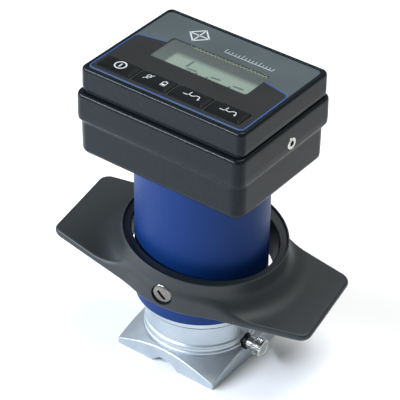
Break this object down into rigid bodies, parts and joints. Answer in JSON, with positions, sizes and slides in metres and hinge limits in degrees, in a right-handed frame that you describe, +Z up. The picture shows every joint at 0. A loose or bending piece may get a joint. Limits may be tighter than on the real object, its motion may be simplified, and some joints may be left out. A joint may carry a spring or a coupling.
{
  "type": "portable hardness tester",
  "caption": "Hand-pressed digital hardness tester: square vee-grooved foot, blue swivel sleeve with a two-winged press handle, and a display head with keys.",
  "frame": {"origin": "on the column's axis, level with the foot's work face", "axes": "+Z up the column to the head's face, +X along the head's long side, -Y towards the operator"},
  "size_m": [0.1879, 0.1114, 0.2067],
  "materials": {
    "foot_metal": "satin cast and turned",
    "neck_metal": "satin turned",
    "sleeve_blue": "blue anodised, satin",
    "handle_plastic": "moulded, matt",
    "case_plastic": "moulded, fine spark texture",
    "overlay_film": "printed film, satin",
    "key_film": "embossed film, satin",
    "window_clear": "clear",
    "display_glass": "reflective display glass",
    "board_green": "solder resist",
    "part_black": "moulded",
    "screw_steel": "polished",
    "nickel": "nickel plated",
    "bronze": "turned bearing bronze",
    "guide_plastic": "acetal",
    "spring_steel": "oiled",
    "cell_steel": "ground",
    "tip_hard": "polished, hardened",
    "gasket_rubber": "moulded",
    "scale_glass": "etched",
    "battery_wrap": "shrink wrap"
  },
  "bodies": {
    "foot": {"foot": "foot_metal", "clamp_bush": "part_black"},
    "clamp_pad": {"clamp_pad": "bronze"},
    "clamp_screw": {"clamp_screw": "nickel"},
    "column": {"neck_housing": "neck_metal", "locating_pin": "screw_steel", "spindle_bearing": "bronze", "tie_rods": "screw_steel", "top_flange": "neck_metal", "upper_guide": "guide_plastic", "encoder_head": "part_black", "return_springs": "spring_steel", "bottom_shell": "case_plastic", "case_gasket": "gasket_rubber", "top_shell": "case_plastic", "face_overlay": "overlay_film", "window_lens": "window_clear", "display_panel": "display_glass", "display_board": "board_green", "key_switches": "part_black", "main_board": "board_green", "battery_pack": "battery_wrap", "charger_jack": "part_black", "jack_nut": "nickel", "buzzer": "part_black", "case_screws": "screw_steel", "flange_screws": "screw_steel"},
    "carriage": {"crosshead": "neck_metal", "crosshead_bushes": "bronze", "load_spring": "spring_steel"},
    "spindle": {"spindle": "screw_steel", "load_cell": "cell_steel", "spring_seat": "screw_steel", "indenter_holder": "cell_steel", "indenter": "tip_hard", "encoder_scale": "scale_glass"},
    "sleeve": {"sleeve_tube": "sleeve_blue", "guide_ring": "neck_metal", "retaining_rings": "spring_steel", "pivot_screws": "nickel", "pivot_washers": "guide_plastic"},
    "handle": {"handle": "handle_plastic"},
    "power_key": {"power_key": "key_film"},
    "light_key": {"light_key": "key_film"},
    "scale_key": {"scale_key": "key_film"},
    "mode_key": {"mode_key": "key_film"}
  },
  "joints": [
    {"name": "foot_release", "type": "slide", "parent": "foot", "child": "column", "axis": [0, 0, 1], "range_m": [0, 0.025]},
    {"name": "clamp_pad_slide", "type": "slide", "parent": "foot", "child": "clamp_pad", "axis": [1, 0, 0], "range_m": [0, 0.0014]},
    {"name": "clamp_screw_turn", "type": "hinge", "parent": "clamp_pad", "child": "clamp_screw", "pos_m": [0.045, 0, 0.015], "axis": [1, 0, 0], "range_deg": [0, 720]},
    {"name": "sleeve_press", "type": "slide", "parent": "column", "child": "carriage", "axis": [0, 0, -1], "range_m": [0, 0.008], "stiffness_N_per_m": 3000, "springref_m": -0.006, "deforming": ["return_springs", "load_spring"]},
    {"name": "spindle_feed", "type": "slide", "parent": "column", "child": "spindle", "axis": [0, 0, -1], "range_m": [0, 0.006]},
    {"name": "sleeve_swivel", "type": "hinge", "parent": "carriage", "child": "sleeve", "pos_m": [0, 0, 0.0733], "axis": [0, 0, 1], "continuous": true},
    {"name": "handle_rock", "type": "hinge", "parent": "sleeve", "child": "handle", "pos_m": [0, 0, 0.0733], "axis": [-0.1822, 0.9833, 0], "range_deg": [-17.3, 2.7]},
    {"name": "power_key_press", "type": "slide", "parent": "column", "child": "power_key", "axis": [0, 0, -1], "range_m": [0, 0.0006], "stiffness_N_per_m": 600, "springref_m": -0.0006},
    {"name": "light_key_press", "type": "slide", "parent": "column", "child": "light_key", "axis": [0, 0, -1], "range_m": [0, 0.0006], "stiffness_N_per_m": 600, "springref_m": -0.0006},
    {"name": "scale_key_press", "type": "slide", "parent": "column", "child": "scale_key", "axis": [0, 0, -1], "range_m": [0, 0.0006], "stiffness_N_per_m": 600, "springref_m": -0.0006},
    {"name": "mode_key_press", "type": "slide", "parent": "column", "child": "mode_key", "axis": [0, 0, -1], "range_m": [0, 0.0006], "stiffness_N_per_m": 600, "springref_m": -0.0006}
  ],
  "couplings": [
    {"joint": "spindle_feed", "follows": "sleeve_press", "ratio": 0.75},
    {"joint": "clamp_screw_turn", "follows": "clamp_pad_slide", "rad_per_m": 8976}
  ]
}
